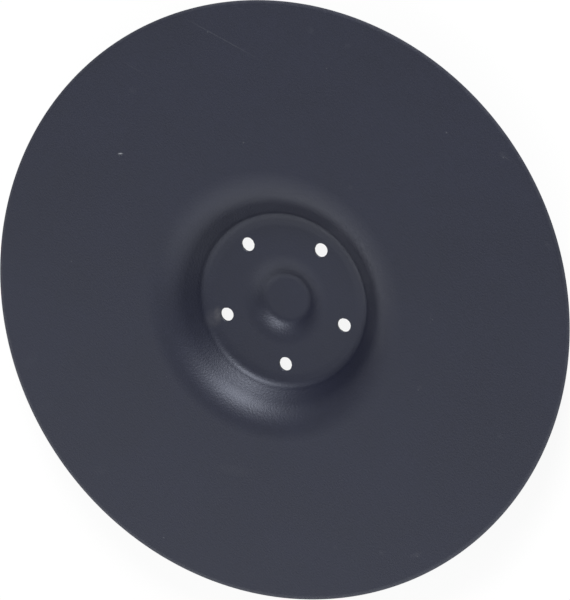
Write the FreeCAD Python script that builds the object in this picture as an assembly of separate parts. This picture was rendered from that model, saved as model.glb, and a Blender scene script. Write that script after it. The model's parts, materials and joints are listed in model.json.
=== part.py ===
import FreeCAD, Part
import math
import os

# Seed drill disc: one blank of hardened steel sheet, stamped round and pressed in one stroke. A flat cutting ring
# surrounds an offset hub, a bowl with a sloping wall and a flat floor. A dimple in the middle of the floor is
# pressed further the same way. Five bolt holes are pierced in the floor, and the rim is ground thin: a wide bevel on
# the back, and a narrow shallow one on the front.
#
# Frame, in millimetres: the origin is on the disc's axis, in the plane of the hub's seat face. +Z points out of the
# bowl, towards the front of the disc, and +X passes through one of the bolt holes.
#
# The section is set out on the front face. The back face runs parallel to it, one sheet thickness behind. The
# diameters and heights below are those of the sharp corners, before the bends round them off.

# The blank and its cutting edge
disc_diameter = 350.0
sheet_thickness = 3.0
edge_thickness = 0.8
bevel_width = 12.0
front_bevel_width = 2.2
front_bevel_depth = 0.45

# The hub: the seat is the flat middle of its floor, and outside the seat the floor lifts a little to the wall
hub_offset = 19.7
seat_diameter = 89.0
seat_edge_bend_radius = 12.0
hub_floor_diameter = 100.4
hub_floor_lift = 0.8
hub_wall_angle = 48.5
hub_foot_bend_radius = 7.0
hub_shoulder_bend_radius = 27.0

# The dimple, which clears the end of the axle
dimple_depth = 5.0
dimple_mouth_diameter = 43.0
dimple_wall_angle = 32.0
dimple_bottom_bend_radius = 7.5
dimple_lip_bend_radius = 20.0

# The bolt holes
hole_count = 5
hole_diameter = 8.2
bolt_circle_diameter = 76.7
hole_edge_chamfer = 0.3


def point(radius, height):
    """A point of the section, in the XZ plane."""
    return FreeCAD.Vector(radius, 0, height)


def run_of(rise, angle):
    """How far out a wall goes while it climbs by rise at an angle, in degrees, to the floor."""
    return rise / math.tan(math.radians(angle))


def front_corners():
    """Sharp corners of the front face from the axis to the rim, with the bend radius at each one between them.

    A radius is positive where the front face turns up and negative where it turns down.
    """
    dimple_mouth = dimple_mouth_diameter / 2
    dimple_bottom = dimple_mouth - run_of(dimple_depth, dimple_wall_angle)
    foot = hub_floor_diameter / 2
    shoulder = foot + run_of(hub_offset - hub_floor_lift, hub_wall_angle)
    corners = [
        point(0, -dimple_depth),
        point(dimple_bottom, -dimple_depth),
        point(dimple_mouth, 0),
        point(seat_diameter / 2, 0),
        point(foot, hub_floor_lift),
        point(shoulder, hub_offset),
        point(disc_diameter / 2, hub_offset),
    ]
    bends = [
        dimple_bottom_bend_radius,
        -dimple_lip_bend_radius,
        seat_edge_bend_radius,
        hub_foot_bend_radius,
        -hub_shoulder_bend_radius,
    ]
    return corners, bends


def down_from(start, end):
    """Unit vector square to the line from start to end, on the side of the back face."""
    along = (end - start).normalize()
    return FreeCAD.Vector(along.z, 0, -along.x)


def back_corners(corners, bends):
    """The same line, one sheet thickness behind: each corner moves along its mitre and each bend keeps its centre."""
    moved = [corners[0] + down_from(corners[0], corners[1]) * sheet_thickness]
    for before, corner, after in zip(corners, corners[1:], corners[2:]):
        mitre = down_from(before, corner) + down_from(corner, after)
        moved.append(corner + mitre * (2 * sheet_thickness / mitre.dot(mitre)))
    moved.append(corners[-1] + down_from(corners[-2], corners[-1]) * sheet_thickness)
    return moved, [bend + sheet_thickness for bend in bends]


def bent_line(corners, bends):
    """Edges of a line through the corners, with a tangent arc of the given radius at each one between the ends."""
    edges = []
    start = corners[0]
    for before, corner, after, bend in zip(corners, corners[1:], corners[2:], bends):
        back = (before - corner).normalize()
        ahead = (after - corner).normalize()
        half_turn = (math.pi - back.getAngle(ahead)) / 2
        arc_start = corner + back * (abs(bend) * math.tan(half_turn))
        arc_end = corner + ahead * (abs(bend) * math.tan(half_turn))
        to_centre = (back + ahead).normalize()
        arc_middle = corner + to_centre * (abs(bend) * (1 / math.cos(half_turn) - 1))
        edges.append(Part.LineSegment(start, arc_start).toShape())
        edges.append(Part.Arc(arc_start, arc_middle, arc_end).toShape())
        start = arc_end
    edges.append(Part.LineSegment(start, corners[-1]).toShape())
    return edges


def pressed_sheet():
    """The sheet turned about its axis: front face, front bevel, edge land, back bevel and back face."""
    front, front_bends = front_corners()
    back, back_bends = back_corners(front, front_bends)
    rim = disc_diameter / 2
    edge = [
        point(rim - front_bevel_width, hub_offset),
        point(rim, hub_offset - front_bevel_depth),
        point(rim, hub_offset - edge_thickness),
        point(rim - bevel_width, hub_offset - sheet_thickness),
    ]
    front[-1] = edge[0]
    back[-1] = edge[-1]
    section = bent_line(front, front_bends)
    for start, end in zip(edge, edge[1:]):
        section.append(Part.LineSegment(start, end).toShape())
    section.extend(bent_line(back, back_bends))
    section.append(Part.LineSegment(back[0], front[0]).toShape())
    face = Part.Face(Part.Wire(Part.sortEdges(section)[0]))
    return face.revolve(point(0, 0), FreeCAD.Vector(0, 0, 1), 360)


def with_bolt_holes(sheet):
    """The sheet with its ring of holes, whose edges are slightly broken on the front face."""
    clear = sheet_thickness
    punch = Part.makeCylinder(hole_diameter / 2, 3 * clear, point(bolt_circle_diameter / 2, -2 * clear))
    for number in range(hole_count):
        turned = punch.copy()
        turned.rotate(point(0, 0), FreeCAD.Vector(0, 0, 1), number * 360 / hole_count)
        sheet = sheet.cut(turned)
    edges = []
    for edge in sheet.Edges:
        if isinstance(edge.Curve, Part.Circle) and abs(edge.Curve.Radius - hole_diameter / 2) < 1e-6:
            off_axis = math.hypot(edge.Curve.Center.x, edge.Curve.Center.y)
            on_the_circle = abs(off_axis - bolt_circle_diameter / 2) < 1e-6
            if on_the_circle and abs(edge.Curve.Center.z) < 1e-6:
                edges.append(edge)
    return sheet.makeChamfer(hole_edge_chamfer, edges)


os.makedirs("parts", exist_ok=True)
seed_disc = with_bolt_holes(pressed_sheet())
seed_disc.exportStep("parts/seed_disc.step")
print("seed_disc: valid", seed_disc.isValid(), "solids", len(seed_disc.Solids), "mm3", round(seed_disc.Volume))
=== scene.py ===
import json
import math
import bpy
from mathutils import Matrix, Vector


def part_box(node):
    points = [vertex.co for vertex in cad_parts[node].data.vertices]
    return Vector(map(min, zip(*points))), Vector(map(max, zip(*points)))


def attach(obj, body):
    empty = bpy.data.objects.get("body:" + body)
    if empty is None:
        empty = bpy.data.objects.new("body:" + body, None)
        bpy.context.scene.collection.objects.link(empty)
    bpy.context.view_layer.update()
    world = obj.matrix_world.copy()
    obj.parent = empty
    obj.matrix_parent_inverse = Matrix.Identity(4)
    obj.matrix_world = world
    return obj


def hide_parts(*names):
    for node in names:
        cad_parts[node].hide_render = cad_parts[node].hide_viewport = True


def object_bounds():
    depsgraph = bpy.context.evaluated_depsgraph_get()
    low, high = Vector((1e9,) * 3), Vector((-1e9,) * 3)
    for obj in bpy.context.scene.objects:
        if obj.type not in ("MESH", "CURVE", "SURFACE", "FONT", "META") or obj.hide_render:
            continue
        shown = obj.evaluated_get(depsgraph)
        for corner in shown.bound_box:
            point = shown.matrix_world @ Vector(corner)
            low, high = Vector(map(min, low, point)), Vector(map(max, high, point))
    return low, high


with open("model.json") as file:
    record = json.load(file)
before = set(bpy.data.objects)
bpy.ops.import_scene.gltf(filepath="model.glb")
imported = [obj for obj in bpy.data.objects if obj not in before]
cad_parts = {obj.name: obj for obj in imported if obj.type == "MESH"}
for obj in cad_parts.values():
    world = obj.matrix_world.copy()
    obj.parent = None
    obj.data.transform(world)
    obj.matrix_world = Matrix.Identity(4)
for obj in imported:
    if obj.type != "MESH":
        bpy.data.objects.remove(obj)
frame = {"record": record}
cad_low, cad_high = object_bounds()


# The disc
# One blank of hardened steel sheet, stamped round and pressed in one stroke into a flat ring, an offset
# hub and a dimple. Its five bolt holes are punched. Its rim is ground thin, with a wide bevel on the back
# and a narrow shallow one on the front, and then the disc is painted all over.
mount = {entry["name"]: entry for entry in frame["record"]["mounts"]}
disc_low, disc_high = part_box("seed_disc")
rim_radius = disc_high.x
ring_height = disc_high.z
sheet_thickness = -mount["hub_back"]["pos_m"][2]
dimple_depth = -disc_low.z - sheet_thickness
bolt_circle_radius = mount["hub_bolts"]["dims"]["pcd_mm"] / 2000
hole_radius = mount["hub_bolts"]["dims"]["hole_r_mm"] / 1000
hole_count = mount["hub_bolts"]["dims"]["count"]

dimple_mouth_radius = 0.0215
dimple_wall_angle = math.radians(32)
dimple_bottom_bend = 0.0075
dimple_lip_bend = -0.02
seat_radius = 0.0445
seat_edge_bend = 0.012
floor_radius = 0.0502
floor_lift = 0.0008
hub_wall_angle = math.radians(48.5)
hub_foot_bend = 0.007
hub_shoulder_bend = -0.027
edge_thickness = 0.0008
bevel_width = 0.012
front_bevel_width = 0.0022
front_bevel_depth = 0.00045
front_bevel_bend = -0.003
front_edge_bend = -0.00015
land_edge_bend = -0.00012
bevel_edge_bend = -0.004
hole_roll_width = 0.0007
hole_roll_depth = 0.0003
hole_straight_depth = 0.0017
hole_tear_width = 0.0004
hole_burr_break = 0.0001
flat_beside_hole = 0.0003

steps_round = 360
widest_ring = 0.005
ring_beside_bend = widest_ring / 16
turn_per_step = math.radians(5)
flat_within = 1e-7


def bent_line(corners, bends):
    """Points of a line through the corners, rounded by a tangent arc at each one between the ends."""
    points = [corners[0]]
    for before, corner, after, bend in zip(corners, corners[1:], corners[2:], bends):
        back = (before - corner).normalized()
        ahead = (after - corner).normalized()
        turn = math.pi - back.angle(ahead)
        centre = corner + (back + ahead).normalized() * (abs(bend) / math.cos(turn / 2))
        start = corner + back * (abs(bend) * math.tan(turn / 2)) - centre
        steps = max(2, math.ceil(turn / turn_per_step))
        for step in range(steps + 1):
            swing = math.copysign(turn, bend) * step / steps
            across = start.x * math.cos(swing) - start.y * math.sin(swing)
            up = start.x * math.sin(swing) + start.y * math.cos(swing)
            points.append(centre + Vector((across, up)))
    points.append(corners[-1])
    return points


def with_rings_between(points):
    """The line with more points on its long straight runs, the outermost of them close to its ends."""
    filled = [points[0]]
    for start, end in zip(points, points[1:]):
        length = (end - start).length
        if length > widest_ring:
            between = length - 2 * ring_beside_bend
            steps = math.ceil(between / widest_ring)
            for step in range(steps + 1):
                filled.append(start.lerp(end, (ring_beside_bend + between * step / steps) / length))
        filled.append(end)
    return filled


def one_sheet_behind(corners):
    """The corners moved one sheet thickness to the side of the back face, each along its mitre."""
    runs = [(end - start).normalized() for start, end in zip(corners, corners[1:])]
    square = [Vector((run.y, -run.x)) for run in runs]
    moved = [corners[0] + square[0] * sheet_thickness]
    for corner, first, second in zip(corners[1:], square, square[1:]):
        mitre = first + second
        moved.append(corner + mitre * (2 * sheet_thickness / mitre.dot(mitre)))
    moved.append(corners[-1] + square[-1] * sheet_thickness)
    return moved


dimple_bottom_radius = dimple_mouth_radius - dimple_depth / math.tan(dimple_wall_angle)
shoulder_radius = floor_radius + (ring_height - floor_lift) / math.tan(hub_wall_angle)
front = [
    Vector((0, -dimple_depth)),
    Vector((dimple_bottom_radius, -dimple_depth)),
    Vector((dimple_mouth_radius, 0)),
    Vector((seat_radius, 0)),
    Vector((floor_radius, floor_lift)),
    Vector((shoulder_radius, ring_height)),
    Vector((rim_radius, ring_height)),
]
front_bevel = [
    Vector((rim_radius - front_bevel_width, ring_height)),
    Vector((rim_radius, ring_height - front_bevel_depth)),
]
front_bends = [dimple_bottom_bend, dimple_lip_bend, seat_edge_bend, hub_foot_bend, hub_shoulder_bend]
back = one_sheet_behind(front)
back_bends = [bend + sheet_thickness for bend in front_bends]
land_end = Vector((rim_radius, ring_height - edge_thickness))
bevel_start = Vector((rim_radius - bevel_width, ring_height - sheet_thickness))
section_corners = front[:-1] + front_bevel + [land_end, bevel_start] + back[-2::-1]
rim_bends = [front_bevel_bend, front_edge_bend, land_edge_bend, bevel_edge_bend]
section_bends = front_bends + rim_bends + [-bend for bend in back_bends[::-1]]
section = with_rings_between(bent_line(section_corners, section_bends))

# The section's rings, turned about the axis. A block of the seat round each hole is left open and then
# filled with loops that close in on the hole, go down its wall and open out again on the back.
rows = section[1:-1]
vertices = []
for point in rows:
    for step in range(steps_round):
        angle = math.tau * step / steps_round
        vertices.append((point.x * math.cos(angle), point.x * math.sin(angle), point.y))

hole_block_steps = 10
hole_block_reach = 2 * hole_radius
block_start = bolt_circle_radius - hole_block_reach
seat_rows = [row for row, point in enumerate(rows)
             if point.x > block_start and abs(point.y) < flat_within]
seat_back_rows = [row for row, point in enumerate(rows)
                  if point.x > block_start and abs(point.y + sheet_thickness) < flat_within]


def at(row, step):
    """Number of the vertex on a ring at a step round it."""
    return row * steps_round + step % steps_round


def open_block(row, step, block_rows):
    """True for a face of the ring that lies in the block round a hole."""
    if not min(block_rows) <= row < max(block_rows):
        return False
    steps_apart = steps_round // hole_count
    from_hole = (step + steps_apart // 2) % steps_apart - steps_apart // 2
    return -hole_block_steps <= from_hole < hole_block_steps


faces = []
for row in range(len(rows) - 1):
    for step in range(steps_round):
        if not open_block(row, step, seat_rows) and not open_block(row, step, seat_back_rows):
            faces.append((at(row, step), at(row + 1, step), at(row + 1, step + 1), at(row, step + 1)))
for end, row, order in ((section[0], 0, 1), (section[-1], len(rows) - 1, -1)):
    vertices.append((0, 0, end.y))
    for step in range(steps_round):
        faces.append((len(vertices) - 1, at(row, step), at(row, step + 1))[::order])


def edge_of_block(inner, outer, middle):
    """Vertices round the edge of a hole's block, anticlockwise seen from the front."""
    low = middle - hole_block_steps
    high = middle + hole_block_steps
    inward = 1 if outer > inner else -1
    loop = [at(outer, step) for step in range(low, high)]
    loop += [at(row, high) for row in range(outer, inner, -inward)]
    loop += [at(inner, step) for step in range(high, low, -1)]
    loop += [at(row, low) for row in range(inner, outer, inward)]
    return loop


# The punch rolls the front edge of a hole over, leaves the wall straight for about half its depth and then
# tears it a little wider towards the back.
hole_wall = [(hole_radius + hole_roll_width + flat_beside_hole, 0)]
steps_over_roll = 4
for step in range(steps_over_roll + 1):
    lean = math.pi / 2 * step / steps_over_roll
    rolled_in = hole_roll_width * (1 - math.sin(lean))
    rolled_down = hole_roll_depth * (1 - math.cos(lean))
    hole_wall.append((hole_radius + rolled_in, -rolled_down))
hole_wall.append((hole_radius, -hole_straight_depth))
torn_radius = hole_radius + hole_tear_width
hole_wall.append((torn_radius, hole_burr_break - sheet_thickness))
hole_wall.append((torn_radius + hole_burr_break, -sheet_thickness))
hole_wall.append((torn_radius + hole_burr_break + flat_beside_hole, -sheet_thickness))
loops_to_hole = 4
for hole in range(hole_count):
    middle = hole * steps_round // hole_count
    angle = math.tau * hole / hole_count
    centre = Vector((bolt_circle_radius * math.cos(angle), bolt_circle_radius * math.sin(angle)))
    front_edge = edge_of_block(seat_rows[0], seat_rows[-1], middle)
    back_edge = edge_of_block(seat_back_rows[-1], seat_back_rows[0], middle)
    outward = [Vector(vertices[number][:2]) - centre for number in front_edge]
    loops = []
    for step in range(1, loops_to_hole):
        loops.append((step / loops_to_hole, hole_wall[0][0], 0))
    loops += [(1, wide, height) for wide, height in hole_wall]
    for step in range(loops_to_hole - 1, 0, -1):
        loops.append((step / loops_to_hole, hole_wall[-1][0], -sheet_thickness))
    last = front_edge
    for closed, wide, height in loops:
        this = []
        for way in outward:
            spot = centre + way * (1 - closed) + way.normalized() * wide * closed
            this.append(len(vertices))
            vertices.append((spot.x, spot.y, height))
        for here in range(len(this)):
            there = (here + 1) % len(this)
            faces.append((last[here], last[there], this[there], this[here]))
        last = this
    for here in range(len(last)):
        there = (here + 1) % len(last)
        faces.append((last[here], last[there], back_edge[there], back_edge[here]))

disc_mesh = bpy.data.meshes.new("painted_disc")
disc_mesh.from_pydata(vertices, [], faces)
disc_mesh.validate()
disc_mesh.shade_smooth()
disc = bpy.data.objects.new("painted_disc", disc_mesh)
bpy.context.collection.objects.link(disc)

# The paint is one dark blue-grey satin coat, sprayed on and baked. Its orange peel shows where the light
# glances off the hub's wall, and it is worn thin over the rim. Handling has left a nick, scratches, scuffs
# and a few specks.
paint_colour = (0.0046, 0.0054, 0.0145, 1)
scuffed_colour = (0.075, 0.078, 0.086, 1)
rubbed_colour = (0.083, 0.081, 0.085, 1)
bare_colour = (0.32, 0.33, 0.35, 1)
gloss_level = 0.63
gloss_tint = (0.802, 0.85, 0.99, 1)
glossy_roughness = 0.469
satin_roughness = 0.484
fine_roughness = 0.018
low_view_roughness = 0.4
broad_patch_size = 0.045
fine_patch_size = 0.003
scratch_gap_size = 0.0025
scuff_gap_size = 0.0022
rub_gap_size = 0.0015
worn_rim_width = 0.0024
worn_patch_size = 0.004
least_worn = 0.035
most_worn = 0.07
nick_shine = 0.55
peel_size = 0.0011
peel_height = 0.00013
lip_rise = 1.2
dent_fall = 1.6
crease_height = 0.00012
crease_start = 0.0512
crease_end = 0.0534
crease_fades_to = 0.085

paint = bpy.data.materials.new("dark_satin_paint")
paint.use_nodes = True
nodes = paint.node_tree.nodes
links = paint.node_tree.links
shader = nodes["Principled BSDF"]


def feed(socket, source):
    """Joins a socket to another node's output, or sets it to a plain value."""
    if isinstance(source, bpy.types.NodeSocket):
        links.new(source, socket)
    else:
        socket.default_value = source


def worked_out(operation, *terms):
    """One value worked out of others by a Math node."""
    made = nodes.new("ShaderNodeMath")
    made.operation = operation
    for socket, term in zip(made.inputs, terms):
        feed(socket, term)
    return made.outputs[0]


def eased(value, start, end, low=0.0, high=1.0):
    """Low where the value is at start, high where it is at end, and a soft change between them."""
    ease = nodes.new("ShaderNodeMapRange")
    ease.interpolation_type = "SMOOTHSTEP"
    for socket, term in zip(ease.inputs, (value, start, end, low, high)):
        feed(socket, term)
    return ease.outputs["Result"]


def patches(size, detail):
    """Soft random patches about this many metres across, from 0 to 1."""
    noise = nodes.new("ShaderNodeTexNoise")
    noise.inputs["Scale"].default_value = 1 / size
    noise.inputs["Detail"].default_value = detail
    links.new(surface_point.outputs["Object"], noise.inputs["Vector"])
    return noise.outputs["Fac"]


def coloured(under, over, share):
    """The colour over laid on the colour under by its share."""
    mix = nodes.new("ShaderNodeMix")
    mix.data_type = "RGBA"
    feed(mix.inputs["Factor"], share)
    feed(mix.inputs["A"], under)
    feed(mix.inputs["B"], over)
    return mix.outputs["Result"]


surface_point = nodes.new("ShaderNodeTexCoord")
point_from_above = nodes.new("ShaderNodeVectorMath")
point_from_above.operation = "MULTIPLY"
links.new(surface_point.outputs["Object"], point_from_above.inputs[0])
point_from_above.inputs[1].default_value = (1, 1, 0)
from_axis = nodes.new("ShaderNodeVectorMath")
from_axis.operation = "LENGTH"
links.new(point_from_above.outputs[0], from_axis.inputs[0])
radius = from_axis.outputs["Value"]
way_out = nodes.new("ShaderNodeSeparateXYZ")
links.new(surface_point.outputs["Normal"], way_out.inputs[0])
on_front = eased(way_out.outputs["Z"], 0.2, 0.4)


def mark(x, y, long, wide, turn):
    """Mask of a mark on the front: 1 in the middle of an oval this long and wide and 0 at its border."""
    oval = nodes.new("ShaderNodeMapping")
    oval.vector_type = "TEXTURE"
    oval.inputs["Location"].default_value = (x, y, 0)
    oval.inputs["Rotation"].default_value = (0, 0, math.radians(turn))
    oval.inputs["Scale"].default_value = (long / 2, wide / 2, 1)
    links.new(point_from_above.outputs[0], oval.inputs["Vector"])
    reach = nodes.new("ShaderNodeVectorMath")
    reach.operation = "LENGTH"
    links.new(oval.outputs[0], reach.inputs[0])
    return worked_out("MULTIPLY", eased(reach.outputs["Value"], 1, 0.2), on_front)


def all_of(marks):
    """One mask of several marks. Each has its place, length, width, turn in degrees and strength."""
    mask = None
    for x, y, long, wide, turn, strength in marks:
        one = worked_out("MULTIPLY", mark(x, y, long, wide, turn), strength)
        mask = one if mask is None else worked_out("MAXIMUM", mask, one)
    return mask


# The nick is a dent, and its raised lip is worn bright
nick_lip = mark(0.1221, 0.0261, 0.0042, 0.0013, 59)
nick_dent = mark(0.1211, 0.0268, 0.0036, 0.0013, 59)

scratches = all_of([
    (0.1402, -0.0669, 0.0600, 0.0009, 29, 0.26),
    (0.1500, -0.0850, 0.0200, 0.0007, 12, 0.10),
    (0.1541, -0.0127, 0.0280, 0.0008, 28, 0.15),
    (-0.0042, -0.1679, 0.0100, 0.0008, 20, 0.16),
    (-0.0783, -0.0793, 0.0260, 0.0008, 77, 0.06),
    (-0.0543, -0.0786, 0.0080, 0.0012, 144, 0.12),
])
scratches = worked_out("MULTIPLY", scratches, eased(patches(scratch_gap_size, 2), 0.35, 0.6, 0.35, 1))

scuffs = all_of([
    (0.1469, -0.0028, 0.0065, 0.0050, 40, 0.07),
    (0.1141, -0.1142, 0.0070, 0.0050, 20, 0.07),
    (0.0954, -0.1274, 0.0060, 0.0045, 70, 0.06),
    (-0.0021, -0.1673, 0.0080, 0.0060, 20, 0.08),
    (-0.0557, -0.1597, 0.0060, 0.0040, 10, 0.08),
    (-0.0833, -0.0498, 0.0045, 0.0034, 60, 0.09),
    (-0.1302, -0.0744, 0.0060, 0.0040, 30, 0.06),
    (-0.1626, 0.0101, 0.0110, 0.0042, 76, 0.11),
    (-0.1513, 0.0277, 0.0050, 0.0036, 60, 0.10),
    (-0.1352, 0.0509, 0.0050, 0.0036, 90, 0.06),
    (0.0307, -0.0821, 0.0050, 0.0036, 0, 0.06),
    (-0.0666, 0.0780, 0.0340, 0.0090, 50, 0.05),
    (0.0547, 0.1535, 0.0200, 0.0090, 100, 0.03),
    (0.0275, 0.1621, 0.0170, 0.0080, 80, 0.03),
    (-0.0231, 0.1550, 0.0160, 0.0080, 60, 0.03),
])
scuffs = worked_out("MULTIPLY", scuffs, eased(patches(scuff_gap_size, 3), 0.35, 0.6, 0.5, 1))

# A bolt head has rubbed the floor beside one hole
rubbed = all_of([
    (0.0147, 0.0416, 0.0128, 0.0076, 143, 0.42),
    (0.0148, 0.0448, 0.0150, 0.0120, 120, 0.16),
    (0.0125, 0.0456, 0.0100, 0.0090, 50, 0.16),
])
rubbed = worked_out("MULTIPLY", rubbed, eased(patches(rub_gap_size, 2), 0.35, 0.6, 0.7, 1))

# Light specks, none of them two millimetres wide
specks = all_of([
    (0.0883, 0.0924, 0.0013, 0.0011, 0, 0.4),
    (0.0857, -0.0428, 0.0014, 0.0012, 40, 0.5),
    (0.0920, -0.1096, 0.0013, 0.0010, 90, 0.4),
    (0.0255, -0.1473, 0.0018, 0.0013, 20, 0.5),
    (-0.0030, -0.1666, 0.0016, 0.0013, 0, 0.4),
    (-0.0317, -0.0457, 0.0016, 0.0013, 60, 0.8),
    (-0.0554, -0.0793, 0.0013, 0.0010, 0, 0.4),
    (-0.1638, 0.0098, 0.0014, 0.0011, 0, 0.4),
    (-0.0770, 0.1440, 0.0016, 0.0012, 30, 0.5),
    (0.0012, 0.0818, 0.0012, 0.0010, 0, 0.3),
    (-0.0841, -0.0483, 0.0014, 0.0011, 0, 0.4),
    (0.1477, -0.0620, 0.0013, 0.0010, 0, 0.4),
    (0.0347, -0.0426, 0.0012, 0.0010, 0, 0.3),
    (0.0328, -0.0449, 0.0011, 0.0009, 0, 0.3),
])

at_rim = eased(radius, rim_radius - worn_rim_width, rim_radius)
wear = eased(patches(worn_patch_size, 3), 0.35, 0.65, least_worn, most_worn)
worn_rim = worked_out("MULTIPLY", at_rim, wear)

# The coat's own tone varies a little, and the marks are laid on it one after another
broad_patches = patches(broad_patch_size, 2)
fine_patches = patches(fine_patch_size, 3)
mottle = nodes.new("ShaderNodeMix")
mottle.data_type = "RGBA"
mottle.blend_type = "MULTIPLY"
mottle.inputs["Factor"].default_value = 1
mottle.inputs["A"].default_value = paint_colour
broad_shade = eased(broad_patches, 0.3, 0.7, 0.92, 1.08)
fine_shade = eased(fine_patches, 0.3, 0.7, 0.94, 1.06)
links.new(worked_out("MULTIPLY", broad_shade, fine_shade), mottle.inputs["B"])
colour = mottle.outputs["Result"]
for over, share in ((scuffed_colour, scratches), (scuffed_colour, scuffs), (scuffed_colour, specks),
                    (rubbed_colour, rubbed), (bare_colour, worn_rim),
                    (bare_colour, worked_out("MULTIPLY", nick_lip, nick_shine))):
    colour = coloured(colour, over, share)
links.new(colour, shader.inputs["Base Color"])

# The satin gloss. Seen from very low, the paint scatters it more widely.
roughness = eased(broad_patches, 0.3, 0.7, glossy_roughness, satin_roughness)
roughness = worked_out("ADD", roughness, eased(fine_patches, 0.3, 0.7, 0, fine_roughness))
slant = nodes.new("ShaderNodeLayerWeight")
seen_low = eased(slant.outputs["Facing"], 0.66, 0.74, 0, low_view_roughness)
links.new(worked_out("ADD", roughness, seen_low), shader.inputs["Roughness"])
shader.inputs["Specular IOR Level"].default_value = gloss_level
shader.inputs["Specular Tint"].default_value = gloss_tint

# The orange peel, the nick, and the crease that the press left at the foot of the hub's wall. Their rises
# are shares of the peel's height.
peel = patches(peel_size, 1.5)
raised_lip = worked_out("MULTIPLY", nick_lip, lip_rise)
dents = worked_out("SUBTRACT", raised_lip, worked_out("MULTIPLY", nick_dent, dent_fall))
crease_up = eased(radius, crease_start, crease_end)
crease_down = eased(radius, crease_fades_to, crease_end)
crease = worked_out("MULTIPLY", worked_out("MULTIPLY", crease_up, crease_down), on_front)
crease = worked_out("MULTIPLY", crease, crease_height / peel_height)
surface = nodes.new("ShaderNodeBump")
surface.inputs["Strength"].default_value = 1
surface.inputs["Distance"].default_value = peel_height
links.new(worked_out("ADD", worked_out("ADD", peel, dents), crease), surface.inputs["Height"])
links.new(surface.outputs["Normal"], shader.inputs["Normal"])

disc_mesh.materials.append(paint)

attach(disc, "root")
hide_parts("seed_disc")


# The table
# A plain white table top. The disc lies on it, front side up, on the flat back of its dimple. It shows
# white to the camera and in the paint's gloss, less the disc's own soft shadow.
table_reach = 8.0
below_disc = 0.00003
table_height = cad_low.z - below_disc
table_white = 0.9
table_roughness = 0.9
table_glow = 0.9

table_mesh = bpy.data.meshes.new("table")
table_mesh.from_pydata(
    [(across * table_reach, along * table_reach, table_height)
     for across, along in ((-1, -1), (1, -1), (1, 1), (-1, 1))], [], [(0, 1, 2, 3)])
table = bpy.data.objects.new("table", table_mesh)
bpy.context.collection.objects.link(table)

white = bpy.data.materials.new("white_table")
white.use_nodes = True
nodes = white.node_tree.nodes
links = white.node_tree.links
table_top = nodes["Principled BSDF"]
table_top.inputs["Base Color"].default_value = (table_white, table_white, table_white, 1)
table_top.inputs["Roughness"].default_value = table_roughness
glow = nodes.new("ShaderNodeEmission")
glow.inputs["Strength"].default_value = 1.0
ray = nodes.new("ShaderNodeLightPath")
seen = worked_out("MAXIMUM", ray.outputs["Is Camera Ray"], ray.outputs["Is Glossy Ray"])
seen = worked_out("MAXIMUM", seen, ray.outputs["Is Transmission Ray"])
shown = nodes.new("ShaderNodeMixShader")
links.new(worked_out("MULTIPLY", seen, table_glow), shown.inputs[0])
links.new(table_top.outputs[0], shown.inputs[1])
links.new(glow.outputs[0], shown.inputs[2])
links.new(shown.outputs[0], nodes["Material Output"].inputs["Surface"])
table_mesh.materials.append(white)


# The light
# Five soft boxes stand round the table in an even, dim room. Most of the light comes from one side, a
# third of the way up, and glances off the hub's far wall. The others are low or wide and fill in round it.
room_light = 0.4
box_distance = 3

room = bpy.data.worlds.new("room")
bpy.context.scene.world = room
room.use_nodes = True
walls = room.node_tree.nodes["Background"]
walls.inputs["Color"].default_value = (1, 1, 1, 1)
walls.inputs["Strength"].default_value = room_light


def soft_box(name, azimuth, elevation, wide, high, watts):
    """A soft box that faces the disc from round the table, its angles in degrees and sides in metres."""
    lamp = bpy.data.lights.new(name, "AREA")
    lamp.shape = "RECTANGLE"
    lamp.size = wide
    lamp.size_y = high
    lamp.energy = watts
    box = bpy.data.objects.new(name, lamp)
    across = math.cos(math.radians(elevation))
    towards = Vector((across * math.cos(math.radians(azimuth)),
                      across * math.sin(math.radians(azimuth)),
                      math.sin(math.radians(elevation))))
    box.location = towards * box_distance
    box.rotation_euler = towards.to_track_quat("Z", "Y").to_euler()
    box.visible_camera = False
    bpy.context.collection.objects.link(box)


soft_box("main_box", -43, 34, 1.23, 1.23, 99)
soft_box("low_box", -67.1, 6.1, 0.67, 0.52, 15.8)
soft_box("long_low_box", 102.2, 13.5, 5.25, 0.59, 29.2)
soft_box("side_box", 169, 35.1, 2.97, 2.95, 28.6)
soft_box("high_box", 111.3, 49.9, 3.76, 2.26, 23.7)


# The camera
# It looks down on the disc from well above the table. It is turned about its own line of sight, so that
# the far side of the disc comes to the lower left of the picture.
camera_data = bpy.data.cameras.new("camera")
camera = bpy.data.objects.new("camera", camera_data)
bpy.context.collection.objects.link(camera)
bpy.context.scene.camera = camera
camera_data.lens = 146.45
camera_data.sensor_width = 36
aim = Vector((-0.0006, -0.01, ring_height))
distance = 1.3837
azimuth = math.radians(-2.6008)
elevation = math.radians(63.7161)
roll = math.radians(-121.2035)
away = Vector((math.sin(azimuth) * math.cos(elevation),
               -math.cos(azimuth) * math.cos(elevation),
               math.sin(elevation)))
camera.location = aim + away * distance
upright = (-away).to_track_quat("-Z", "Y").to_matrix()
camera.rotation_euler = (upright @ Matrix.Rotation(roll, 3, "Z")).to_euler()

bpy.context.scene.view_settings.view_transform = "Standard"
